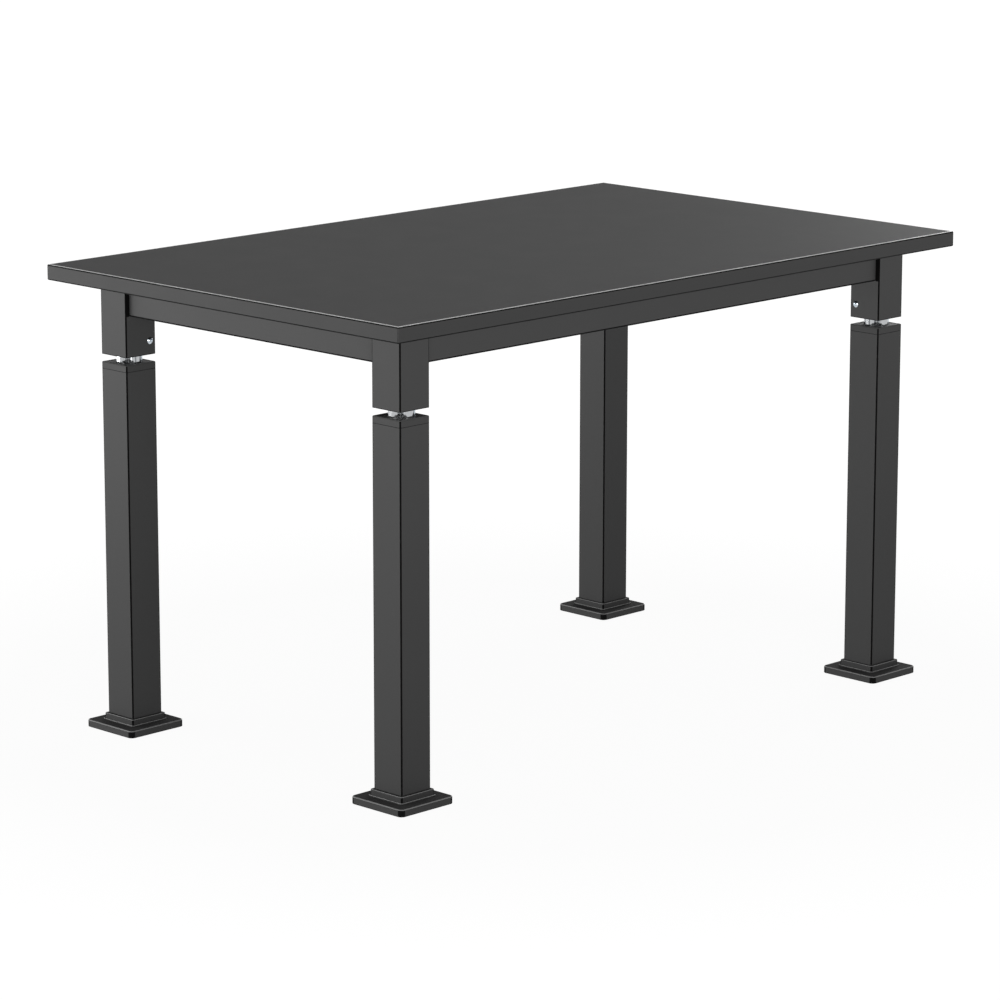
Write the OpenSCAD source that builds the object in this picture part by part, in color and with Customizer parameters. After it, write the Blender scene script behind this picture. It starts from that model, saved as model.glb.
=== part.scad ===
// Height adjustable lab table.
// Origin: centre of the footprint on the floor. +X along the long side, +Z up.
// The front is the -Y side. The legs are drawn fully retracted, at the lowest height.

/* [Worktop] */
// Length of the worktop, along X
top_l = 1219.2; // [1000:0.1:1830]
// Depth of the worktop, along Y
top_w = 762; // [600:0.1:920]
// Thickness of the worktop
top_t = 24; // [19:0.5:38]
// Roundover on the top and bottom edges of the worktop
top_edge_r = 1.8; // [0.5:0.1:4]
// Radius of the worktop's four upright corners
top_corner_r = 2.5; // [1:0.1:30]

/* [Height] */
// Height of the worktop's surface with the legs retracted
table_h = 720; // [690:1:860]
// How far each leg extends
lift_travel = 305; // [150:1:320]

/* [Legs] */
// Outside width of the square leg tubes
leg_w = 58; // [56:0.5:64]
// Wall of the leg tubes
leg_wall = 2.5; // [2:0.1:3]
// Outside corner radius of the leg tubes
leg_corner_r = 2; // [1.6:0.1:4]
// Overhang of the worktop past the legs, at each end
overhang_x = 57; // [30:1:120]
// Overhang of the worktop past the legs, front and rear
overhang_y = 56; // [30:1:120]
// Length of the upper leg tube, below the worktop
upper_leg_l = 112.7; // [100:0.1:140]
// Open gap between the upper and the lower leg when retracted
leg_gap = 11.5; // [5:0.1:25]

/* [Leg caps] */
// Height of the collar that closes the top of the lower leg
cap_h = 10.5; // [6:0.1:18]
// Roundover on the collar's top edge
cap_edge_r = 1.5; // [0.4:0.1:1.5]
// Wall of the bushing round the tips of the post's lobes
bushing_wall = 1.8; // [1.2:0.1:2]
// Length of the cap's skirt inside the leg tube
cap_skirt = 32; // [20:1:45]
// How deep the bushing's face sits below the collar's rim
bushing_drop = 0.3; // [0:0.1:3]

/* [Inner post] */
// Width of the clover-shaped post across its lobes
post_w = 42; // [41:0.1:43]
// Width of one lobe of the post
lobe_w = 17; // [16.8:0.1:17.6]
// Radius on the corners of the lobes
lobe_r = 6.5; // [4:0.1:7.5]
// Radius of the hollow between two lobes
notch_r = 1.8; // [1:0.1:2]
// Diameter of the bore down the post
post_bore = 16.6; // [16.4:0.1:16.8]
// Width of the grooves in the inward lobes
groove_w = 2; // [1:0.1:3]
// Depth of the grooves in the inward lobes
groove_d = 1.8; // [1:0.1:2.5]
// Spacing of the two grooves in one lobe
groove_gap = 8; // [6:0.1:9]
// Diameter of the slim rod beside the post
guide_rod_d = 3; // [2.5:0.1:3.4]
// How far the slim rod stands from the post's axis, along X and along Y
guide_rod_at = 13.6; // [13.4:0.1:14]

/* [Inside the legs] */
// Height of the insert that holds the post in the upper leg
insert_h = 70; // [50:1:75]
// How far the insert sits inside the mouth of the upper leg
insert_up = 4; // [1:0.5:8]
// Height of the slider at the post's lower end
slider_h = 45; // [35:1:60]
// Depth of the post's socket in the slider
slider_socket = 25; // [15:1:30]
// Space between the slider and the foot's spigot when retracted
slider_gap = 5; // [2:0.5:20]
// Outside diameter of the lift cylinder
cyl_od = 16; // [15.5:0.1:16]
// Wall of the lift cylinder
cyl_wall = 1.5; // [1.2:0.1:2]
// Diameter of the lift rod
rod_d = 8; // [7:0.1:9]
// Length of the piston
piston_l = 20; // [12:1:25]
// Length of the gland at the cylinder's mouth
gland_l = 20; // [12:1:25]
// Diameter of the cylinder's head
head_d = 28; // [22:0.5:30]
// Height of the cylinder's head
head_h = 8; // [7:0.5:9]
// Diameter of the oil port in the cylinder's head
port_d = 5; // [3:0.1:6]
// Room over the cylinder's head, below the worktop
head_room = 6; // [2:0.5:10]

/* [Rails] */
// Height of the rails under the worktop
rail_h = 50; // [40:0.5:60]
// Depth of the rails' flanges
rail_d = 25; // [18:0.5:30]
// Thickness of the rails' steel
rail_t = 2.3; // [1.6:0.1:2.5]
// Outside radius of the rails' bends
rail_bend_r = 3; // [2.6:0.1:4]
// How far the rails stand behind the legs' outer faces
rail_recess = 6.5; // [2:0.1:10]
// Spacing of the screws along the rails
rail_screw_pitch = 260; // [150:10:400]

/* [Corner brackets] */
// Thickness of the corner brackets
bracket_t = 3; // [2:0.5:4]
// Reach of a bracket along each rail, from the leg's face
bracket_reach = 76; // [64:1:110]
// Straight end of a bracket beside its slanted edge
bracket_end = 46; // [30:1:60]
// Height of the bracket's tabs on the leg
tab_h = 42; // [34:1:50]
// Width of the bracket's tabs
tab_w = 22; // [18:0.5:23]
// Middle of the bracket's tabs, from the leg's axis
tab_at = 12; // [10:0.5:14]
// Distance of the outer screw from the end of the bracket's arm
arm_screw_end = 12; // [8:1:20]
// Distance between the two screws along one arm of a bracket
arm_screw_gap = 34; // [20:1:45]

/* [Foot] */
// Width of the foot's square plate
foot_w = 106.8; // [100:0.1:140]
// Thickness of the foot's plate
foot_t = 11.4; // [9:0.1:16]
// Radius of the plate's upright corners
foot_corner_r = 8; // [4:0.1:20]
// Roundover on the plate's top edge
foot_edge_r = 1.8; // [0.5:0.1:3]
// Roundover on the plate's bottom edge
foot_base_r = 1; // [0.3:0.1:2]
// Width of the low step on the plate
step_w = 69.6; // [69:0.1:76]
// Height of the low step
step_t = 2; // [1.2:0.1:4]
// Width of the block under the leg
block_w = 66; // [65:0.1:68.5]
// Height of the block under the leg
block_t = 8.6; // [5:0.1:15]
// Corner radius of the step and the block
block_r = 2.5; // [1.5:0.1:4]
// Roundover on the top edges of the step and the block
block_edge_r = 1; // [0.3:0.1:1.1]
// Height of the shadow line between the block and the leg tube
shadow_t = 1.2; // [0.6:0.1:2]
// How far the shadow line is set back from the leg tube's faces
shadow_d = 1.2; // [0.8:0.1:1.6]
// Height of the spigot inside the leg tube
spigot_h = 25; // [15:1:40]
// Wall of the spigot
spigot_wall = 4; // [3:0.1:6]
// Diameter of the boss that carries the lift rod
boss_d = 18; // [14:0.5:22]
// Height of the boss above the block
boss_h = 15; // [8:0.5:15]
// Depth of the lift rod's seat in the boss
seat_d = 14; // [8:1:20]
// Width of the rim under the plate
base_rim = 12; // [8:0.5:16]
// Depth of the hollow under the plate
base_hollow = 5; // [2:0.1:7]
// Thickness of the ribs under the plate and inside the spigot
rib_t = 3.5; // [2:0.1:5]

/* [Fasteners] */
// Diameter of the clamp screws
clamp_screw_d = 5; // [4:0.1:5]
// Length of the clamp screws under the head
clamp_screw_l = 8; // [6:0.5:8]
// Diameter of the clamp screws' heads
clamp_head_d = 10.4; // [8:0.1:11]
// Height of the clamp screws' heads
clamp_head_h = 3; // [2:0.1:4]
// Distance of the clamp screws from the leg's inner edge
clamp_edge = 11.5; // [10:0.1:13]
// Height of the clamp screws above the upper leg's mouth
clamp_up = 21.4; // [15:0.1:40]
// Diameter of the worktop screws
wood_screw_d = 4.2; // [3.5:0.1:5]
// How far the worktop screws reach into the worktop
wood_screw_bite = 15; // [10:0.5:16]
// Diameter of the worktop screws' heads
wood_head_d = 9; // [7:0.1:11]
// Height of the worktop screws' heads
wood_head_h = 2.6; // [2:0.1:4]
// Diameter of the bracket bolts
bolt_d = 6; // [5:0.1:8]
// Width across the bracket bolts' hexagon heads
bolt_af = 10; // [8:0.1:13]
// Height of the bracket bolts' heads
bolt_head_h = 4; // [3:0.1:6]
// Height of the nuts behind the leg's wall
nut_h = 5; // [4:0.1:6]
// Height of the bracket bolts below the worktop
bolt_down = 30; // [24:0.5:36]

/* [Clearances] */
// Gap between pieces that slide on each other
slide_gap = 0.3; // [0.2:0.05:0.5]
// Running clearance on the radius of the lift rod and the piston
run_gap = 0.06; // [0.02:0.01:0.1]
// Gap between fixed pieces that fit into each other
fit_gap = 0.1; // [0.05:0.05:0.2]

/* [Hidden] */
// Number of segments on round shapes
$fn = 64;
// Small overlap that makes cuts run through
eps = 0.5;

// The four corners, each with its side along X and along Y
CORNERS = [["front_left", -1, -1], ["front_right", 1, -1], ["rear_left", -1, 1], ["rear_right", 1, 1]];
FIXED_PARTS = ["upper_leg", "corner_bracket", "post", "post_insert", "post_slider", "guide_rod", "lift_cylinder"];
MOVING_PARTS = ["lower_leg", "leg_cap", "post_bushing", "lift_rod", "foot"];

// Heights above the floor
under_top = table_h - top_t;
upper_mouth = under_top - upper_leg_l;
cap_top = upper_mouth - leg_gap;
cap_seam = cap_top - cap_h;
block_top = foot_t + step_t + block_t;
tube_low = block_top + shadow_t;
spigot_top = block_top + spigot_h;
slider_low = spigot_top + slider_gap;
post_low = slider_low + slider_h - slider_socket;
post_top = under_top - head_room - head_h;
insert_low = upper_mouth + insert_up;
clamp_z = upper_mouth + clamp_up;
bolt_z = under_top - bolt_down;
flange_low = under_top - rail_t;
plate_low = flange_low - bracket_t;

// Places in plan
leg_x = top_l / 2 - overhang_x - leg_w / 2;
leg_y = top_w / 2 - overhang_y - leg_w / 2;
half = leg_w / 2;
tube_in = leg_w - 2 * leg_wall;
bushing_w = post_w + 2 * slide_gap + 2 * bushing_wall;
rail_face = half - rail_recess;
web_in = rail_face - rail_t;
rail_back = rail_face - rail_d;
clamp_at = half - clamp_edge;
screw_line = (web_in + rail_back) / 2;
arm_end = half + bracket_reach;
arm_screw_1 = arm_end - arm_screw_end;
arm_screw_0 = arm_screw_1 - arm_screw_gap;

// Lift cylinder and rod. The piston stops this far from either end of its room
stop_gap = 2;
cyl_id = cyl_od - 2 * cyl_wall;
cyl_room = stop_gap + piston_l + lift_travel + stop_gap;
cyl_low = post_top - cyl_room - gland_l;
piston_top = post_top - stop_gap;
boss_top = block_top + boss_h;
rod_seat = boss_top - seat_d;

// Small shapes: corners of mouldings inside the tubes, corners of the bushing, nearly sharp edges
inner_r = 1;
bushing_r = 2;
fine_r = 0.2;
// Room past the clamp screws' tips, and round the lift rod in the slider
tip_room = 2;
rod_room = 0.6;
// Pan heads, as shares of their diameter: dome radius, length and width of the cross recess
dome_share = 0.72;
cross_l_share = 0.5;
cross_w_share = 0.13;

// Colours
steel_black = "#3b3c3e";
plastic_black = "#242527";
top_grey = "#47484a";
silver = "#d2d4d6";
zinc = "#bfc4c8";

// Rounded rectangle, centred
module soft_square(w, d, r) {
    square([w - 2 * r, d], center = true);
    square([w, d - 2 * r], center = true);
    for (x = [-1, 1], y = [-1, 1])
        translate([x * (w / 2 - r), y * (d / 2 - r)]) circle(r);
}

// Upright outline of half a plate of thickness h, with its outer edges rounded
module edge_profile(reach, h, top_r, low_r) {
    polygon([[0, 0], [reach - low_r, 0], [reach - low_r, low_r], [reach, low_r],
             [reach, h - top_r], [reach - top_r, h - top_r], [reach - top_r, h], [0, h]]);
    translate([reach - top_r, h - top_r]) circle(top_r);
    translate([reach - low_r, low_r]) circle(low_r);
}

// Plate standing on z = 0 with upright corners of radius r and rounded top and bottom edges.
// The rounding of the edges is limited to the radius of the corners
module soft_plate(w, d, h, r, top_edge, low_edge) {
    top_r = min(top_edge, r);
    low_r = min(low_edge, r);
    for (s = [0, 1])
        mirror([s, 0, 0]) rotate([90, 0, 0])
            linear_extrude(d - 2 * r, center = true) edge_profile(w / 2, h, top_r, low_r);
    for (s = [0, 1])
        mirror([0, s, 0]) rotate([90, 0, 90])
            linear_extrude(w - 2 * r, center = true) edge_profile(d / 2, h, top_r, low_r);
    for (x = [-1, 1], y = [-1, 1])
        translate([x * (w / 2 - r), y * (d / 2 - r), 0])
            rotate_extrude() intersection() {
                edge_profile(r, h, top_r, low_r);
                square([r, h]);
            }
}

// Puts its children at a corner. They are drawn for a leg whose table side is +X and +Y
module at_corner(c) {
    translate([c[1] * leg_x, c[2] * leg_y, 0])
        mirror([c[1] > 0 ? 1 : 0, 0, 0])
            mirror([0, c[2] > 0 ? 1 : 0, 0])
                children();
}

// Puts its children on both table sides of a leg, drawn on its +Y side
module on_inner_sides() {
    children();
    mirror([1, -1, 0]) children();
}

// Outline of the post. grow makes it larger all round
module clover(grow = 0) {
    difference() {
        union() {
            soft_square(post_w + 2 * grow, lobe_w + 2 * grow, lobe_r + grow);
            soft_square(lobe_w + 2 * grow, post_w + 2 * grow, lobe_r + grow);
        }
        for (x = [-1, 1], y = [-1, 1])
            translate([x * lobe_w / 2, y * lobe_w / 2]) circle(notch_r - grow);
    }
}

// Place of the slim rod beside the post, the same way round at every leg
function guide_xy(c) = [guide_rod_at * (c[1] > 0 ? -1 : 1), -guide_rod_at * (c[2] > 0 ? -1 : 1)];

// Holes for the worktop screws of one corner, or the screws' own places
function arm_spots() = [
    for (a = [arm_screw_0, arm_screw_1]) [a, -screw_line],
    for (a = [arm_screw_0, arm_screw_1]) [-screw_line, a]
];

// Places of the screws along the long and the short rails
function spots(span) = let (n = max(1, floor((span - 2 * arm_end) / rail_screw_pitch)))
    [for (i = [0:n - 1]) (i - (n - 1) / 2) * rail_screw_pitch];
long_spots = spots(2 * leg_x);
short_spots = spots(2 * leg_y);
rail_line_x = leg_x + screw_line;
rail_line_y = leg_y + screw_line;

// Children at every worktop screw that goes through a rail alone
module at_rail_spots() {
    for (x = long_spots, s = [-1, 1]) translate([x, s * rail_line_y, 0]) children();
    for (y = short_spots, s = [-1, 1]) translate([s * rail_line_x, y, 0]) children();
}

module worktop() {
    color(top_grey) difference() {
        translate([0, 0, under_top])
            soft_plate(top_l, top_w, top_t, top_corner_r, top_edge_r, top_edge_r);
        for (c = CORNERS, p = arm_spots())
            at_corner(c) translate([p[0], p[1], under_top - eps])
                cylinder(d = wood_screw_d + 2 * fit_gap, h = wood_screw_bite + 2 * eps);
        at_rail_spots() translate([0, 0, under_top - eps])
            cylinder(d = wood_screw_d + 2 * fit_gap, h = wood_screw_bite + 2 * eps);
    }
}

// Section of a rail: web outward at x = 0, flanges towards -x, top at y = 0
module rail_section() {
    difference() {
        intersection() {
            translate([-rail_d, -rail_h / 2]) soft_square(2 * rail_d, rail_h, rail_bend_r);
            translate([-rail_d, -rail_h]) square([rail_d, rail_h]);
        }
        translate([-rail_d - rail_t, -rail_h / 2])
            soft_square(2 * rail_d, rail_h - 2 * rail_t, rail_bend_r - rail_t);
    }
}

// Rail of a given length, along Y, with its web outward at +X
module rail(span, line, screws) {
    color(steel_black) difference() {
        translate([line, 0, under_top]) rotate([90, 0, 0])
            linear_extrude(span, center = true) rail_section();
        for (y = screws)
            translate([line - rail_face + screw_line, y, flange_low - eps])
                cylinder(d = wood_screw_d + 2 * fit_gap, h = rail_t + 2 * eps);
    }
}

// Screw places of both brackets along a rail whose legs stand at +-leg
function arm_ends(leg) = [for (s = [-1, 1], a = [arm_screw_0, arm_screw_1]) s * (leg - a)];

module long_rail() {
    rotate(-90) rail(2 * leg_x - leg_w, leg_y + rail_face, concat(arm_ends(leg_x), long_spots));
}

module short_rail() {
    rail(2 * leg_y - leg_w, leg_x + rail_face, concat(arm_ends(leg_y), short_spots));
}

module front_rail() long_rail();

module rear_rail() rotate(180) long_rail();

module right_rail() short_rail();

module left_rail() rotate(180) short_rail();

// Square tube of the legs, from z0 up to z1
module leg_tube(z0, z1) {
    translate([0, 0, z0]) linear_extrude(z1 - z0) difference() {
        soft_square(leg_w, leg_w, leg_corner_r);
        square(tube_in, center = true);
    }
}

// Axis of a clamp screw: starts at the leg's face and points into the leg
module at_clamp() {
    translate([clamp_at, half, clamp_z]) rotate([90, 0, 0]) children();
}

// Axis of a bracket bolt: starts at the leg's face and points into the leg
module at_bolt() {
    translate([tab_at, half, bolt_z]) rotate([90, 0, 0]) children();
}

module upper_leg() {
    color(steel_black) difference() {
        leg_tube(upper_mouth, under_top);
        on_inner_sides() {
            at_clamp() translate([0, 0, -eps])
                cylinder(d = clamp_screw_d + 2 * fit_gap, h = leg_wall + 2 * eps);
            at_bolt() translate([0, 0, -eps])
                cylinder(d = bolt_d + 2 * fit_gap, h = leg_wall + 2 * eps);
        }
    }
}

module post_insert(c) {
    color(plastic_black) difference() {
        translate([0, 0, insert_low]) linear_extrude(insert_h) difference() {
            soft_square(tube_in - 2 * fit_gap, tube_in - 2 * fit_gap, inner_r);
            clover(fit_gap);
        }
        on_inner_sides() at_clamp()
            cylinder(d = clamp_screw_d + fit_gap, h = clamp_screw_l + tip_room);
        translate([guide_xy(c)[0], guide_xy(c)[1], insert_low - eps])
            cylinder(d = guide_rod_d + 2 * fit_gap, h = insert_h + 2 * eps);
    }
}

module post() {
    color(silver) translate([0, 0, post_low]) linear_extrude(post_top - post_low) difference() {
        clover();
        circle(d = post_bore);
        on_inner_sides() for (s = [-1, 1])
            translate([s * groove_gap / 2, post_w / 2 - groove_d / 2 + eps])
                square([groove_w, groove_d + 2 * eps], center = true);
    }
}

module guide_rod(c) {
    color(silver) translate([guide_xy(c)[0], guide_xy(c)[1], post_low])
        cylinder(d = guide_rod_d, h = insert_low + insert_h - post_low);
}

module post_slider(c) {
    color(plastic_black) difference() {
        translate([0, 0, slider_low]) linear_extrude(slider_h)
            soft_square(tube_in - 2 * slide_gap, tube_in - 2 * slide_gap, inner_r);
        translate([0, 0, post_low]) linear_extrude(slider_socket + eps) clover(fit_gap);
        translate([0, 0, slider_low - eps])
            cylinder(d = rod_d + 2 * rod_room, h = slider_h + eps);
        translate([guide_xy(c)[0], guide_xy(c)[1], post_low])
            cylinder(d = guide_rod_d + 2 * fit_gap, h = slider_socket + eps);
    }
}

module lift_cylinder() {
    color(zinc) difference() {
        union() {
            translate([0, 0, cyl_low]) cylinder(d = cyl_od, h = post_top - cyl_low + eps);
            translate([0, 0, post_top]) cylinder(d = head_d, h = head_h);
        }
        translate([0, 0, cyl_low + gland_l]) cylinder(d = cyl_id, h = cyl_room);
        translate([0, 0, cyl_low - eps]) cylinder(d = rod_d + 2 * run_gap, h = gland_l + 2 * eps);
        translate([0, 0, post_top - eps]) cylinder(d = port_d, h = head_h / 2 + eps);
        translate([0, 0, post_top + head_h / 2]) rotate([90, 0, 180])
            cylinder(d = port_d, h = head_d);
    }
}

module lift_rod() {
    color(zinc) {
        translate([0, 0, rod_seat]) cylinder(d = rod_d, h = piston_top - rod_seat - piston_l / 2);
        translate([0, 0, piston_top - piston_l]) cylinder(d = cyl_id - 2 * run_gap, h = piston_l);
    }
}

module corner_bracket() {
    color(steel_black) difference() {
        union() {
            translate([0, 0, plate_low]) linear_extrude(bracket_t)
                polygon([[half, -web_in], [arm_end, -web_in], [arm_end, bracket_end - web_in],
                         [bracket_end - web_in, arm_end], [-web_in, arm_end], [-web_in, half],
                         [half, half]]);
            on_inner_sides() translate([tab_at - tab_w / 2, half, flange_low - tab_h])
                cube([tab_w, bracket_t, tab_h]);
        }
        for (p = arm_spots()) translate([p[0], p[1], plate_low - eps])
            cylinder(d = wood_screw_d + 2 * fit_gap, h = bracket_t + 2 * eps);
        on_inner_sides() at_bolt() translate([0, 0, -bracket_t - eps])
            cylinder(d = bolt_d + 2 * fit_gap, h = bracket_t + 2 * eps);
    }
}

// Pan head with a cross recess, standing on z = 0
module pan_head(d, h) {
    difference() {
        intersection() {
            cylinder(d = d, h = h);
            translate([0, 0, h - d * dome_share]) sphere(d * dome_share);
        }
        for (a = [0, 90]) rotate(a) translate([0, 0, h])
            cube([d * cross_l_share, d * cross_w_share, h], center = true);
    }
}

module clamp_screws() {
    color(zinc) for (c = CORNERS) at_corner(c) on_inner_sides() at_clamp() {
        translate([0, 0, -eps]) cylinder(d = clamp_screw_d, h = clamp_screw_l + eps);
        mirror([0, 0, 1]) pan_head(clamp_head_d, clamp_head_h);
    }
}

// Worktop screw with its head's seat at z = 0, through a stack of steel
module worktop_screw(steel) {
    cylinder(d = wood_screw_d, h = steel + wood_screw_bite);
    translate([0, 0, eps]) mirror([0, 0, 1]) cylinder(d = wood_screw_d, h = 2 * eps);
    mirror([0, 0, 1]) pan_head(wood_head_d, wood_head_h);
}

module worktop_screws() {
    color(zinc) {
        for (c = CORNERS, p = arm_spots()) at_corner(c)
            translate([p[0], p[1], plate_low]) worktop_screw(rail_t + bracket_t);
        at_rail_spots() translate([0, 0, flange_low]) worktop_screw(rail_t);
    }
}

module bracket_bolts() {
    color(zinc) for (c = CORNERS) at_corner(c) on_inner_sides() at_bolt() {
        translate([0, 0, -bracket_t - eps])
            cylinder(d = bolt_d, h = bracket_t + leg_wall + nut_h + eps);
        translate([0, 0, -bracket_t - bolt_head_h])
            cylinder(d = bolt_af / cos(30), h = bolt_head_h, $fn = 6);
    }
}

module bracket_nuts() {
    color(zinc) for (c = CORNERS) at_corner(c) on_inner_sides() at_bolt()
        translate([0, 0, leg_wall]) difference() {
            cylinder(d = bolt_af / cos(30), h = nut_h, $fn = 6);
            translate([0, 0, -eps]) cylinder(d = bolt_d + fit_gap, h = nut_h + 2 * eps);
        }
}

module lower_leg() {
    color(steel_black) leg_tube(tube_low, cap_seam);
}

module leg_cap() {
    inner = bushing_w + 2 * fit_gap;
    color(plastic_black) difference() {
        union() {
            translate([0, 0, cap_seam])
                soft_plate(leg_w, leg_w, cap_h, leg_corner_r, cap_edge_r, fine_r);
            translate([0, 0, cap_seam - cap_skirt]) linear_extrude(cap_skirt + eps)
                soft_square(tube_in - 2 * fit_gap, tube_in - 2 * fit_gap, inner_r);
        }
        translate([0, 0, cap_seam - cap_skirt - eps]) linear_extrude(cap_skirt + cap_h + 2 * eps)
            soft_square(inner, inner, bushing_r);
    }
}

module post_bushing(c) {
    low = cap_seam - cap_skirt;
    color(plastic_black) difference() {
        translate([0, 0, low]) linear_extrude(cap_top - bushing_drop - low) difference() {
            soft_square(bushing_w, bushing_w, bushing_r);
            clover(slide_gap);
        }
        translate([guide_xy(c)[0], guide_xy(c)[1], low - eps])
            cylinder(d = guide_rod_d + 2 * slide_gap, h = cap_top - low + eps);
    }
}

module foot() {
    spigot_w = tube_in - 2 * fit_gap;
    shoulder_w = leg_w - 2 * shadow_d;
    hollow_w = foot_w - 2 * base_rim;
    color(plastic_black) difference() {
        union() {
            soft_plate(foot_w, foot_w, foot_t, foot_corner_r, foot_edge_r, foot_base_r);
            translate([0, 0, foot_t - eps])
                soft_plate(step_w, step_w, step_t + eps, block_r, block_edge_r, fine_r);
            translate([0, 0, foot_t + step_t - eps])
                soft_plate(block_w, block_w, block_t + eps, block_r, block_edge_r, fine_r);
            translate([0, 0, block_top - eps]) linear_extrude(shadow_t + eps)
                soft_square(shoulder_w, shoulder_w, leg_corner_r);
            translate([0, 0, block_top - eps]) linear_extrude(spigot_h + eps) difference() {
                soft_square(spigot_w, spigot_w, inner_r);
                square(spigot_w - 2 * spigot_wall, center = true);
            }
            translate([0, 0, block_top - eps]) cylinder(d = boss_d, h = boss_h + eps);
            for (a = [0, 90]) rotate(a) translate([0, 0, block_top - eps + boss_h / 2])
                cube([spigot_w - spigot_wall, rib_t, boss_h], center = true);
        }
        translate([0, 0, rod_seat]) cylinder(d = rod_d + 2 * fit_gap, h = seat_d + eps);
        difference() {
            translate([0, 0, -eps]) linear_extrude(base_hollow + eps)
                soft_square(hollow_w, hollow_w, foot_corner_r / 2);
            for (a = [0, 90]) rotate(a)
                cube([foot_w, rib_t, 2 * (base_hollow + eps)], center = true);
            cylinder(d = boss_d, h = 2 * (base_hollow + eps), center = true);
        }
    }
}

worktop();
front_rail();
rear_rail();
left_rail();
right_rail();
clamp_screws();
worktop_screws();
bracket_bolts();
bracket_nuts();
for (c = CORNERS) {
    at_corner(c) upper_leg();
    at_corner(c) corner_bracket();
    at_corner(c) post();
    at_corner(c) post_insert(c);
    at_corner(c) post_slider(c);
    at_corner(c) guide_rod(c);
    at_corner(c) lift_cylinder();
    at_corner(c) lower_leg();
    at_corner(c) leg_cap();
    at_corner(c) post_bushing(c);
    at_corner(c) lift_rod();
    at_corner(c) foot();
}
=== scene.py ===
import math

import bmesh
import bpy
from mathutils import Matrix, Vector

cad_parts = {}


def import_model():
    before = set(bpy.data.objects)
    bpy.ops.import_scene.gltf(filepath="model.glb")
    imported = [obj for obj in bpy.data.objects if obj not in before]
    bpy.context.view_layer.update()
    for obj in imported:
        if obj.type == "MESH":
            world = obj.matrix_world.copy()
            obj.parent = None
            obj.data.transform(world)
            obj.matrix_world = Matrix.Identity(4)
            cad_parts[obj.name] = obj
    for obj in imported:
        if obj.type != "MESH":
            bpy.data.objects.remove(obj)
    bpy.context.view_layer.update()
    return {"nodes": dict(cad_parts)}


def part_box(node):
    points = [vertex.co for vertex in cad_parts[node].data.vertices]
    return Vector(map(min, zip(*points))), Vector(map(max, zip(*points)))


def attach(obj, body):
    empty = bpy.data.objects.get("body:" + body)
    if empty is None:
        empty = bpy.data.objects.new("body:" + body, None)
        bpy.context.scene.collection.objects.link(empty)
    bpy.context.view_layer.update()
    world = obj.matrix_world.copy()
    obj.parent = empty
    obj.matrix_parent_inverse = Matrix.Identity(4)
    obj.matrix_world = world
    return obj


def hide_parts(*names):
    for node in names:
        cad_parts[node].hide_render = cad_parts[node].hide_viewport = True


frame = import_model()

MM = 0.001

CORNERS = ["front_left", "front_right", "rear_left", "rear_right"]

# The worktop's slab: radius of its upright corners, radius of its arrises, which are a little rounder than
# the solid's, width of the strip beside the upper arris where a highlight is painted, and number of steps
# round each radius
TOP_CORNER = 2.5 * MM
TOP_ARRIS = 2.2 * MM
HIGHLIGHT_STRIP = 1.8 * MM
ROUND_STEPS = 8
# A cut through the slab's top takes in a vertex that is nearer than this
CUT_SNAP = 0.01 * MM
# Upward part of a face's normal, by which the slab's faces are told apart: level ones have more than the
# first, sides less than the second, and the part of the arris with the painted highlight more than the third
LEVEL_RISE = 0.999
SIDE_RISE = 0.01
HIGHLIGHT_RISE = 0.8
# Sides smaller than this, in square metres, are strips of a rounded corner, and shaded smooth
CORNER_STRIP = 100 * MM * MM
# Slots of the slab's finishes: laminate, edge band, painted highlight and painted shade
LAMINATE, EDGE_BAND, PAINTED_HIGHLIGHT, PAINTED_SHADE = range(4)

# Where painted shade makes the coat darker: height of the band at an upper leg's cut end, height of the
# seam under a collar, length of a long rail's end, width of a leg's edge beside a rail, and how far each
# place reaches past its surface
CUT_END = 1.0 * MM
SEAM = 0.5 * MM
RAIL_END = 1.4 * MM
LEG_EDGE = 1.0 * MM
PAST = 0.2 * MM

# Parts of a unit normal where a mask is 0 and where it is 1. A bend's is the largest of the three parts, and
# the others are the upward one: where a rim turns up from a side, where it becomes level, and on level tops
# Bends are painted with shade, upward rims with a highlight, and level tops with painted light on the caps
# and painted shade on the feet
BEND = (0.9995, 0.99)
RIM_TURNS_UP = (0.15, 0.30)
RIM_IS_LEVEL = (0.99, 0.96)
TOP_IS_LEVEL = (0.98, 0.995)

# Detail of the noise that makes a finish's clouds, its grain, and the lines of a metal
CLOUD_DETAIL = 3.0
GRAIN_DETAIL = 2.0
LINE_DETAIL = 4.0
# Share by which a metal's roughness changes from line to line
LINE_SHEEN = 0.2

# Strength of the white world as a light on the object, and as it is seen
WORLD_LIGHT = 0.05
WORLD_SEEN = 1.0
# Reach of the floor from its middle, strength of its white, and share of that white where the shadow shows
FLOOR_REACH = 40
FLOOR_WHITE = 1.06
WHITE_OVER_SHADOW = 0.9
# The floor shows the object's shadow up to the first distance from its middle, and is white from the second
SHADOW_NEAR = 0.8
SHADOW_FAR = 2.2

# Camera: place in the frame in metres, heading from +X towards +Y, downward tilt, roll and focal length
CAMERA_AT = Vector((-4.63905, -4.56890, 1.75978))
CAMERA_HEADING = math.radians(44.7158)
CAMERA_TILT = math.radians(12.4621)
CAMERA_ROLL = math.radians(0.0501)
IMAGE_PX = 1000
FOCAL_PX = 4268.7
SENSOR_MM = 36


def linear(colour):
    """An sRGB hex colour as linear RGBA."""
    parts = [int(colour[i:i + 2], 16) / 255 for i in (1, 3, 5)]
    return [c / 12.92 if c <= 0.04045 else ((c + 0.055) / 1.055) ** 2.4 for c in parts] + [1]


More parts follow.
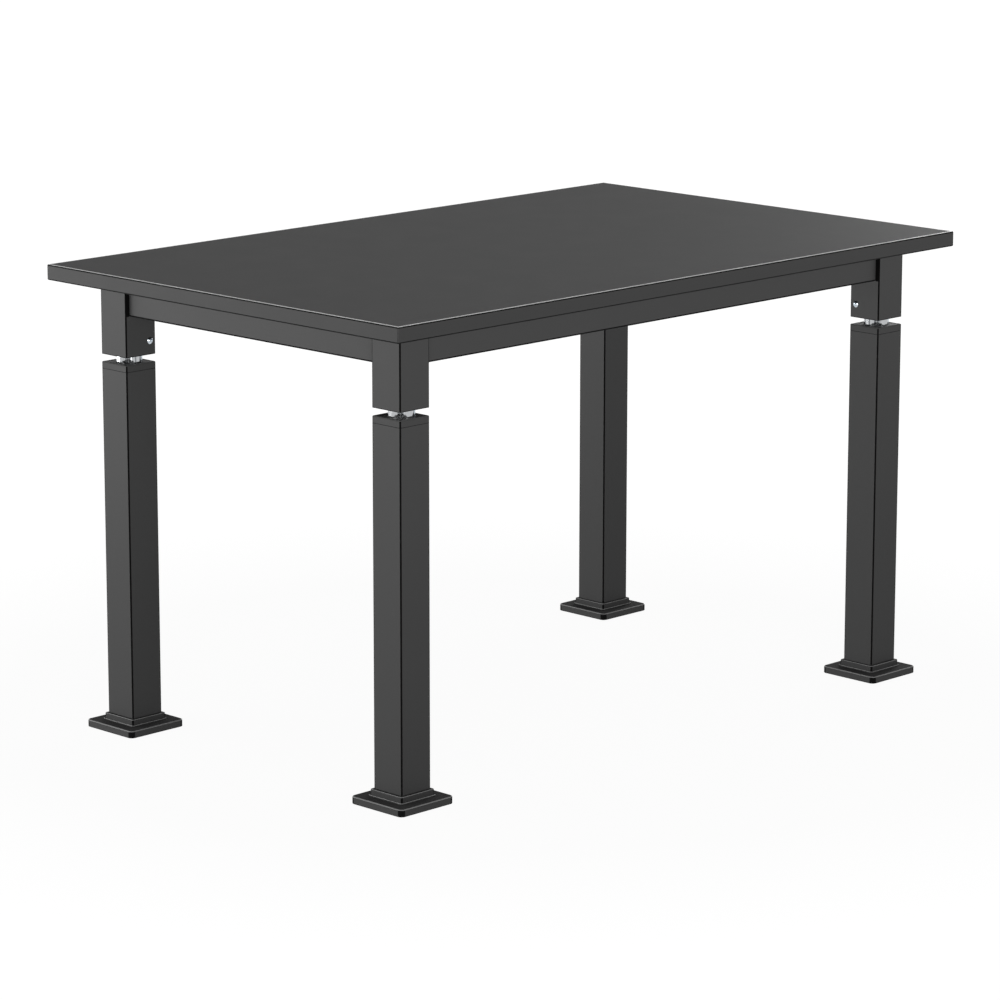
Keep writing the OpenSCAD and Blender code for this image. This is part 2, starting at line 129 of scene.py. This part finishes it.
def add(tree, kind, settings=None, **inputs):
    """Adds a node. settings are its properties. inputs are values, or pairs of a node and its output, and go
    by the socket's name, or by i and the socket's number where names repeat."""
    made = tree.nodes.new(kind)
    for name, value in (settings or {}).items():
        setattr(made, name, value)
    for name, value in inputs.items():
        key = int(name[1:]) if name[0] == "i" and name[1:].isdigit() else name.replace("_", " ")
        socket = made.inputs[key]
        if isinstance(value, tuple) and hasattr(value[0], "outputs"):
            tree.links.new(value[0].outputs[value[1]], socket)
        else:
            socket.default_value = value
    return made


def empty_tree(owner):
    """The node tree of a new material or world, with nothing in it."""
    owner.use_nodes = True
    owner.node_tree.nodes.clear()
    return owner.node_tree


def on_bends(tree, place):
    """1 where a surface is rounded over or slants, and 0 on faces square to X, Y or Z."""
    normal = add(tree, "ShaderNodeVectorMath", {"operation": "ABSOLUTE"}, i0=(place, "Normal"))
    parts = add(tree, "ShaderNodeSeparateXYZ", Vector=(normal, "Vector"))
    largest = add(tree, "ShaderNodeMath", {"operation": "MAXIMUM"}, i0=(parts, "X"), i1=(parts, "Y"))
    largest = add(tree, "ShaderNodeMath", {"operation": "MAXIMUM"}, i0=(largest, "Value"), i1=(parts, "Z"))
    return add(tree, "ShaderNodeMapRange", Value=(largest, "Value"), From_Min=BEND[0], From_Max=BEND[1])


def on_rims(tree, place):
    """1 where a surface is rounded over and turns upwards, as on the top edge of a step."""
    parts = add(tree, "ShaderNodeSeparateXYZ", Vector=(place, "Normal"))
    rise = add(tree, "ShaderNodeMapRange", Value=(parts, "Z"),
               From_Min=RIM_TURNS_UP[0], From_Max=RIM_TURNS_UP[1])
    level = add(tree, "ShaderNodeMapRange", Value=(parts, "Z"),
                From_Min=RIM_IS_LEVEL[0], From_Max=RIM_IS_LEVEL[1])
    return add(tree, "ShaderNodeMath", {"operation": "MULTIPLY"}, i0=(rise, "Result"), i1=(level, "Result"))


def on_tops(tree, place):
    """1 on faces that look straight up."""
    parts = add(tree, "ShaderNodeSeparateXYZ", Vector=(place, "Normal"))
    return add(tree, "ShaderNodeMapRange", Value=(parts, "Z"),
               From_Min=TOP_IS_LEVEL[0], From_Max=TOP_IS_LEVEL[1])


def with_boxes(tree, place, mask, boxes):
    """Adds boxes to a mask. Each gives the least and the greatest |X|, |Y| and height."""
    spread = add(tree, "ShaderNodeVectorMath", {"operation": "ABSOLUTE"}, i0=(place, "Object"))
    parts = add(tree, "ShaderNodeSeparateXYZ", Vector=(spread, "Vector"))
    for box in boxes:
        inside = None
        for axis, (low, high) in zip("XYZ", box):
            within = add(tree, "ShaderNodeMath", {"operation": "COMPARE"}, i0=(parts, axis),
                         i1=(low + high) / 2, i2=(high - low) / 2)
            if inside:
                within = add(tree, "ShaderNodeMath", {"operation": "MULTIPLY"},
                             i0=(inside, 0), i1=(within, 0))
            inside = within
        mask = add(tree, "ShaderNodeMath", {"operation": "MAXIMUM"}, i0=(mask, 0), i1=(inside, 0))
    return mask


def over(tree, mask, tint, sheen, painted_tone):
    """Lays painted light or shade, given as a colour and a roughness, over a tint and a sheen where the mask
    is 1.
    """
    colour, rough = painted_tone
    tint = add(tree, "ShaderNodeMix", {"data_type": "RGBA"}, Factor=(mask, 0),
               A=(tint, "Result"), B=linear(colour))
    sheen = add(tree, "ShaderNodeMix", {"data_type": "FLOAT"}, Factor=(mask, 0),
                A=(sheen, "Result"), B=rough)
    return tint, sheen


def satin(name, colours, specular, rough, rough_span, grain, grain_depth, cloud,
          edge=None, rim=None, top=None, boxes=()):
    """A satin surface: fine grain as bump, and faint clouds between two colours and in its roughness. edge
    is the painted shade of its bends and in the boxes, rim a painted highlight on the bends that turn
    upwards, and top a painted lighter or darker tone on the faces that look straight up."""
    material = bpy.data.materials.new(name)
    tree = empty_tree(material)
    place = add(tree, "ShaderNodeTexCoord")
    clouds = add(tree, "ShaderNodeTexNoise", Vector=(place, "Object"), Scale=1 / cloud, Detail=CLOUD_DETAIL)
    grains = add(tree, "ShaderNodeTexNoise", Vector=(place, "Object"), Scale=1 / grain, Detail=GRAIN_DETAIL)
    relief = add(tree, "ShaderNodeBump", Height=(grains, "Fac"), Distance=grain_depth, Strength=1.0)
    tint = add(tree, "ShaderNodeMix", {"data_type": "RGBA"}, Factor=(clouds, "Fac"),
               A=linear(colours[0]), B=linear(colours[1]))
    sheen = add(tree, "ShaderNodeMapRange", Value=(clouds, "Fac"),
                To_Min=rough - rough_span, To_Max=rough + rough_span)
    if edge:
        mask = with_boxes(tree, place, on_bends(tree, place), boxes)
        tint, sheen = over(tree, mask, tint, sheen, edge)
    if rim:
        tint, sheen = over(tree, on_rims(tree, place), tint, sheen, rim)
    if top:
        tint, sheen = over(tree, on_tops(tree, place), tint, sheen, top)
    shader = add(tree, "ShaderNodeBsdfPrincipled", Base_Color=(tint, "Result"), Roughness=(sheen, "Result"),
                 Normal=(relief, "Normal"), Specular_IOR_Level=specular)
    add(tree, "ShaderNodeOutputMaterial", Surface=(shader, "BSDF"))
    return material


def worktop_laminate():
    """High pressure laminate, pressed matt: an even dark grey with hardly any sheen. Its real grain, of
    about 0.2 mm, is too fine to show and is drawn at 1.6 mm."""
    return satin("high_pressure_laminate", ("#464646", "#484848"), specular=0.05, rough=0.60,
                 rough_span=0.03, grain=1.6 * MM, grain_depth=0.002 * MM, cloud=60 * MM)


def edge_band():
    """Extruded plastic edge band: matt, and darker than the laminate, partly in its own colour and partly as
    painted shade on the worktop's sides. Its real grain, of about 0.2 mm, is drawn at 1.4 mm."""
    return satin("matt_edge_band", ("#343434", "#363636"), specular=0.12, rough=0.50, rough_span=0.03,
                 grain=1.4 * MM, grain_depth=0.002 * MM, cloud=45 * MM)


def painted_arris_highlight():
    """A painted highlight on the rounded upper edge of the laminate: a pale, shiny line. Its grain is drawn
    at 1 mm."""
    return satin("painted_arris_highlight", ("#dadada", "#e6e6e6"), specular=0.5, rough=0.30, rough_span=0.04,
                 grain=1.0 * MM, grain_depth=0.002 * MM, cloud=25 * MM)


def painted_arris_shade():
    """Painted shade on the lower part of the upper arris and on the lower arris: a thin, dull, nearly black
    line. Its grain is drawn as coarse as the band's."""
    return satin("dark_painted_arris_shade", ("#020202", "#060606"), specular=0.1, rough=0.70, rough_span=0.03,
                 grain=1.4 * MM, grain_depth=0.002 * MM, cloud=45 * MM)


def powder_coat():
    """Satin powder coat, baked on steel: an even dark grey with faint orange peel, in waves of 2.2 mm, a
    usual width. Painted shade makes it nearly black in the bends, in the corners beside the rails, on cut
    ends and at the seams under the collars."""
    return satin("satin_powder_coat", ("#3d3d3d", "#404040"), specular=0.12, rough=0.50, rough_span=0.03,
                 grain=2.2 * MM, grain_depth=0.003 * MM, cloud=90 * MM,
                 edge=("#020202", 1.0), boxes=painted_shade_boxes())


def moulded_nylon():
    """Glass-filled nylon from an eroded mould: dark grey with a soft, slightly uneven gloss. Painted light
    makes it a little paler on tops and upper rims, and painted shade nearly black in the other bends. The
    mould's real grain, of about 0.2 mm, is drawn at 1.2 mm."""
    return satin("moulded_nylon", ("#3b3b3b", "#3e3e3e"), specular=0.12, rough=0.50, rough_span=0.05,
                 grain=1.2 * MM, grain_depth=0.003 * MM, cloud=25 * MM,
                 edge=("#020202", 1.0), rim=("#505050", 0.4), top=("#454545", 0.5))


def foot_nylon_painted_shading():
    """The same nylon on the feet, with painted highlights that make the upper edges of the plate and the
    step pale and shiny, painted shade that makes the level faces between them darker and duller, and painted
    shade nearly black in the other bends."""
    return satin("foot_nylon_painted_shading", ("#363636", "#393939"), specular=0.16, rough=0.50, rough_span=0.05,
                 grain=1.2 * MM, grain_depth=0.003 * MM, cloud=25 * MM,
                 edge=("#020202", 1.0), rim=("#828282", 0.28), top=("#272727", 0.9))


def lined_metal(name, colours, rough, line, line_long, line_depth):
    """Metal with fine lines along Z, which change its colour, its roughness and its relief a little."""
    material = bpy.data.materials.new(name)
    tree = empty_tree(material)
    place = add(tree, "ShaderNodeTexCoord")
    stretch = add(tree, "ShaderNodeMapping", Vector=(place, "Object"), Scale=(1, 1, line / line_long))
    lines = add(tree, "ShaderNodeTexNoise", Vector=(stretch, "Vector"), Scale=1 / line, Detail=LINE_DETAIL)
    relief = add(tree, "ShaderNodeBump", Height=(lines, "Fac"), Distance=line_depth, Strength=1.0)
    tint = add(tree, "ShaderNodeMix", {"data_type": "RGBA"}, Factor=(lines, "Fac"),
               A=linear(colours[0]), B=linear(colours[1]))
    sheen = add(tree, "ShaderNodeMapRange", Value=(lines, "Fac"),
                To_Min=rough * (1 - LINE_SHEEN), To_Max=rough * (1 + LINE_SHEEN))
    shader = add(tree, "ShaderNodeBsdfPrincipled", Base_Color=(tint, "Result"), Roughness=(sheen, "Result"),
                 Normal=(relief, "Normal"), Metallic=1.0)
    add(tree, "ShaderNodeOutputMaterial", Surface=(shader, "BSDF"))
    return material


def post_aluminium():
    """Extruded aluminium, clear anodised: silver. The die leaves fine lines along it, which are about 0.1 mm
    wide and drawn at 0.9 mm."""
    return lined_metal("anodised_aluminium", ("#b8babc", "#aaacae"), rough=0.10,
                       line=0.9 * MM, line_long=60 * MM, line_depth=0.0005 * MM)


def zinc_plate():
    """Steel with bright zinc plating: silver, with a faint uneven haze in spots of 1.4 by 3 mm."""
    return lined_metal("bright_zinc_plate", ("#cfd6dc", "#b4bcc2"), rough=0.14,
                       line=1.4 * MM, line_long=3 * MM, line_depth=0.0005 * MM)


def hard_chrome():
    """Steel rod, hard chromed and ground: smooth and bright. The marks of grinding, finer than 0.05 mm, are
    drawn at 0.5 mm."""
    return lined_metal("ground_hard_chrome", ("#e0e1e2", "#d2d4d6"), rough=0.12,
                       line=0.5 * MM, line_long=20 * MM, line_depth=0.0005 * MM)


def painted_shade_boxes():
    """Where painted shade darkens the coat, as boxes of |X|, |Y| and height: cut ends of the upper legs,
    seams under the collars, ends of the long rails, and faces of the legs in the recess beside each rail.
    The rear right leg gives them for all four, which mirror each other."""
    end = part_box("worktop")[1]
    leg_low, leg_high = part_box("rear_right_upper_leg")
    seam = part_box("rear_right_lower_leg")[1].z
    rail_low, rail_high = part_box("rear_rail")
    recess_x = (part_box("right_rail")[1].x - PAST, leg_high.x + PAST)
    recess_y = (rail_high.y - PAST, leg_high.y + PAST)
    rail_z = (rail_low.z, rail_high.z)
    return [
        ((0, end.x), (0, end.y), (leg_low.z - PAST, leg_low.z + CUT_END)),
        ((0, end.x), (0, end.y), (seam - SEAM, seam + PAST)),
        ((leg_low.x - RAIL_END, leg_low.x + PAST), recess_y, rail_z),
        (recess_x, (leg_low.y - LEG_EDGE, leg_low.y + LEG_EDGE), rail_z),
        ((leg_low.x - LEG_EDGE, leg_low.x + LEG_EDGE), recess_y, rail_z),
    ]


def dress(nodes, material):
    """Gives CAD nodes a material in all their slots."""
    for name in nodes:
        slots = frame["nodes"][name].data.materials
        for i in range(len(slots)):
            slots[i] = material
        if not slots:
            slots.append(material)


def of_corners(*parts):
    """Names of the nodes that stand for these parts in all four legs."""
    return [f"{corner}_{part}" for corner in CORNERS for part in parts]


def dress_cad():
    """Finishes of the CAD nodes that show as they are."""
    coat = powder_coat()
    zinc = zinc_plate()
    nylon = moulded_nylon()
    dress(["front_rail", "rear_rail", "left_rail", "right_rail"], coat)
    dress(of_corners("upper_leg", "lower_leg", "corner_bracket"), coat)
    dress(of_corners("post_insert", "post_slider", "leg_cap", "post_bushing"), nylon)
    dress(of_corners("foot"), foot_nylon_painted_shading())
    dress(of_corners("post"), post_aluminium())
    dress(["clamp_screws", "worktop_screws", "bracket_bolts", "bracket_nuts"], zinc)
    dress(of_corners("lift_cylinder", "guide_rod"), zinc)
    dress(of_corners("lift_rod"), hard_chrome())


def round_edges(shape, edges, radius):
    """Rounds edges of a shape."""
    bmesh.ops.bevel(shape, geom=edges, offset=radius, offset_type="OFFSET", segments=ROUND_STEPS,
                    profile=0.5, affect="EDGES", material=-1)


def slab_block(low, high):
    """A block between two corners, with its upright corners and its arrises rounded."""
    shape = bmesh.new()
    bmesh.ops.create_cube(shape, size=1)
    bmesh.ops.scale(shape, vec=high - low, verts=shape.verts)
    bmesh.ops.translate(shape, vec=(low + high) / 2, verts=shape.verts)
    upright = [edge for edge in shape.edges if abs(edge.verts[0].co.z - edge.verts[1].co.z) > MM]
    round_edges(shape, upright, TOP_CORNER)
    level = [face for face in shape.faces if abs(face.normal.z) > LEVEL_RISE]
    rims = [edge for edge in shape.edges if any(face in level for face in edge.link_faces)]
    round_edges(shape, rims, TOP_ARRIS)
    bmesh.ops.recalc_face_normals(shape, faces=shape.faces)
    return shape


def cut_top(shape, reach):
    """Cuts the slab's top along four lines, at a distance from the middle along X and along Y."""
    for axis in range(2):
        for side in (-1, 1):
            away = Vector((0, 0, 0))
            away[axis] = side
            top = [face for face in shape.faces if face.normal.z > LEVEL_RISE]
            edges = [edge for edge in shape.edges if any(face in top for face in edge.link_faces)]
            corners = [vert for vert in shape.verts if any(face in top for face in vert.link_faces)]
            bmesh.ops.bisect_plane(shape, geom=top + edges + corners, dist=CUT_SNAP,
                                   plane_co=away * reach[axis], plane_no=away)


def slab_finish(face, reach):
    """Slot of a face's finish: laminate inside the strip of painted highlight and underneath, edge band on
    the sides, the painted highlight on that strip and the upper part of the upper arris, and painted shade
    on the rest of the upper arris and on the lower one."""
    rise = face.normal.z
    middle = face.calc_center_median()
    if abs(rise) < SIDE_RISE:
        return EDGE_BAND
    if rise > LEVEL_RISE and (abs(middle.x) > reach[0] or abs(middle.y) > reach[1]):
        return PAINTED_HIGHLIGHT
    if abs(rise) > LEVEL_RISE:
        return LAMINATE
    return PAINTED_HIGHLIGHT if rise > HIGHLIGHT_RISE else PAINTED_SHADE


def worktop_slab():
    """The worktop: a laminated board with an edge band and fine arrises, with a painted highlight along the
    upper arris and painted shade below it and on the lower arris.
    """
    low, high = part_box("worktop")
    reach = [size - TOP_ARRIS - HIGHLIGHT_STRIP for size in high.xy]
    shape = slab_block(low, high)
    cut_top(shape, reach)
    for face in shape.faces:
        rise = abs(face.normal.z)
        corner_strip = rise < SIDE_RISE and face.calc_area() < CORNER_STRIP
        face.smooth = SIDE_RISE < rise < LEVEL_RISE or corner_strip
        face.material_index = slab_finish(face, reach)
    mesh = bpy.data.meshes.new("worktop_slab")
    shape.to_mesh(mesh)
    shape.free()
    for material in (worktop_laminate(), edge_band(), painted_arris_highlight(), painted_arris_shade()):
        mesh.materials.append(material)
    made = bpy.data.objects.new("worktop_slab", mesh)
    bpy.context.scene.collection.objects.link(made)
    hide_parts("worktop")
    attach(made, "table_frame")


def camera():
    """The camera at the photograph's place and angle."""
    level = Vector((math.cos(CAMERA_HEADING), math.sin(CAMERA_HEADING), 0))
    forward = level * math.cos(CAMERA_TILT) - Vector((0, 0, math.sin(CAMERA_TILT)))
    across = Vector((level.y, -level.x, 0))
    right = across * math.cos(CAMERA_ROLL) + across.cross(forward) * math.sin(CAMERA_ROLL)
    made = bpy.data.objects.new("camera", bpy.data.cameras.new("camera"))
    bpy.context.scene.collection.objects.link(made)
    made.data.sensor_width = SENSOR_MM
    made.data.lens = FOCAL_PX * SENSOR_MM / IMAGE_PX
    turn = Matrix((right, right.cross(forward), -forward)).transposed()
    made.matrix_world = Matrix.Translation(CAMERA_AT) @ turn.to_4x4()
    bpy.context.scene.camera = made


def softbox(name, at, shines, size, power):
    """A rectangular studio lamp at a place, shining in a direction. size is its width and height. The camera
    doesn't see the lamp itself."""
    lamp = bpy.data.lights.new(name, "AREA")
    lamp.shape = "RECTANGLE"
    lamp.size, lamp.size_y = size
    lamp.energy = power
    made = bpy.data.objects.new(name, lamp)
    bpy.context.scene.collection.objects.link(made)
    made.location = at
    made.rotation_euler = shines.to_track_quat("-Z", "Y").to_euler()
    made.visible_camera = False


def panel(name, heading, distance, height, size, power, aside=0, tilt=0):
    """A softbox on a stand. Seen from above, it stands at a heading in degrees from +X and at a distance
    from the table's middle, moved aside from there, and shines back along that heading. tilt turns it up, in
    degrees."""
    out = Vector((math.cos(math.radians(heading)), math.sin(math.radians(heading)), 0))
    left = Vector((-out.y, out.x, 0))
    up = Vector((0, 0, 1))
    shines = up * math.sin(math.radians(tilt)) - out * math.cos(math.radians(tilt))
    softbox(name, out * distance + left * aside + up * height, shines, size, power)


def lamps():
    """A long low panel on the left, a higher one behind, three that are turned up, and one overhead."""
    softbox("overhead", at=(0, 0, 3.0), shines=Vector((0, 0, -1)), size=(3.4, 3.4), power=14)
    panel("left_panel", heading=135, distance=3.6, height=0.4, size=(4.0, 0.8), power=95)
    panel("right_panel", heading=315, distance=2.6, height=0.8, size=(2.4, 0.8), power=17, tilt=50)
    panel("back_panel", heading=45, distance=4.2, height=1.5, size=(2.4, 1.0), power=74, aside=-2.4)
    panel("front_panel", heading=225, distance=3.0, height=0.8, size=(2.4, 0.8), power=55, tilt=50)
    panel("side_panel", heading=225, distance=3.0, height=0.8, size=(1.6, 0.8), power=57, aside=1.4, tilt=50)


def seen_directly(tree):
    """1 for what is seen, directly, through glass or in a reflection, and 0 for the light that falls."""
    path = add(tree, "ShaderNodeLightPath")
    seen = add(tree, "ShaderNodeMath", {"operation": "MAXIMUM"},
               i0=(path, "Is Camera Ray"), i1=(path, "Is Glossy Ray"))
    return add(tree, "ShaderNodeMath", {"operation": "MAXIMUM"},
               i0=(seen, "Value"), i1=(path, "Is Transmission Ray"))


def world():
    """White behind the object and in its reflections, and a little even light from all round."""
    made = bpy.data.worlds.new("studio")
    bpy.context.scene.world = made
    tree = empty_tree(made)
    strength = add(tree, "ShaderNodeMapRange", Value=(seen_directly(tree), "Value"),
                   To_Min=WORLD_LIGHT, To_Max=WORLD_SEEN)
    shade = add(tree, "ShaderNodeBackground", Color=(1, 1, 1, 1), Strength=(strength, "Result"))
    add(tree, "ShaderNodeOutputWorld", Surface=(shade, "Background"))


def pale_floor():
    """Pale matt floor, seen lifted to white. Near its middle a share of the shadow is kept."""
    material = bpy.data.materials.new("pale_floor")
    tree = empty_tree(material)
    matt = add(tree, "ShaderNodeBsdfDiffuse", Color=linear("#b8b8b8"))
    white = add(tree, "ShaderNodeEmission", Color=(1, 1, 1, 1), Strength=FLOOR_WHITE)
    place = add(tree, "ShaderNodeTexCoord")
    away = add(tree, "ShaderNodeVectorMath", {"operation": "LENGTH"}, i0=(place, "Object"))
    share = add(tree, "ShaderNodeMapRange", Value=(away, "Value"), From_Min=SHADOW_NEAR, From_Max=SHADOW_FAR,
                To_Min=WHITE_OVER_SHADOW, To_Max=1.0)
    lift = add(tree, "ShaderNodeMath", {"operation": "MULTIPLY"},
               i0=(seen_directly(tree), "Value"), i1=(share, "Result"))
    mix = add(tree, "ShaderNodeMixShader", i0=(lift, "Value"), i1=(matt, "BSDF"), i2=(white, "Emission"))
    add(tree, "ShaderNodeOutputMaterial", Surface=(mix, "Shader"))
    return material


def floor():
    """The floor under the object. It isn't part of it."""
    mesh = bpy.data.meshes.new("floor")
    shape = bmesh.new()
    bmesh.ops.create_grid(shape, x_segments=1, y_segments=1, size=FLOOR_REACH)
    shape.to_mesh(mesh)
    shape.free()
    mesh.materials.append(pale_floor())
    made = bpy.data.objects.new("floor", mesh)
    bpy.context.scene.collection.objects.link(made)


dress_cad()
worktop_slab()
camera()
lamps()
world()
floor()
bpy.context.scene.view_settings.view_transform = "Standard"
